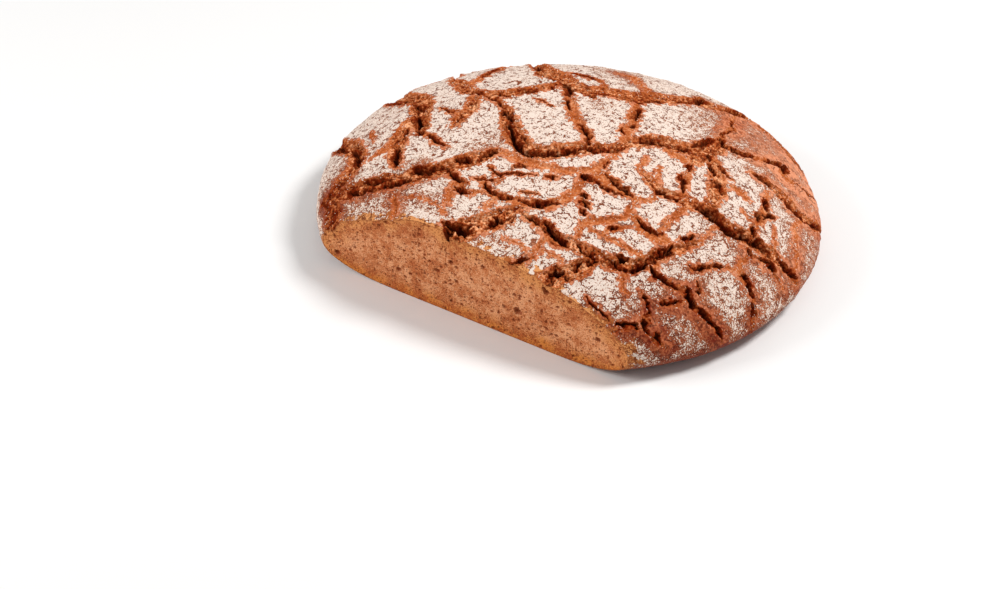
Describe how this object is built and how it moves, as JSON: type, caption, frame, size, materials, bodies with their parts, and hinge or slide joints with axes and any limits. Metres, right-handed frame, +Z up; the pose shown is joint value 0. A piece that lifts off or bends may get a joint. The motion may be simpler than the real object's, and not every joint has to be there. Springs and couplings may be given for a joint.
{
  "type": "round rye loaf",
  "caption": "Round farmhouse rye loaf with a cracked, flour-dusted crust, low domed, one side sliced off upright to show the crumb.",
  "frame": {"origin": "middle of the footprint on the surface that the loaf rests on", "axes": "+Z up, the cut face looks along -Y, the longest side runs along X"},
  "size_m": [0.3068, 0.2548, 0.0705],
  "materials": {
    "floured_crust": "matt baked crust, brown in the cracks, dusted with pale flour on the plates",
    "crumb": "matt open crumb with small pores, tan brown"
  },
  "bodies": {
    "root": {"loaf": "floured_crust"}
  },
  "joints": []
}
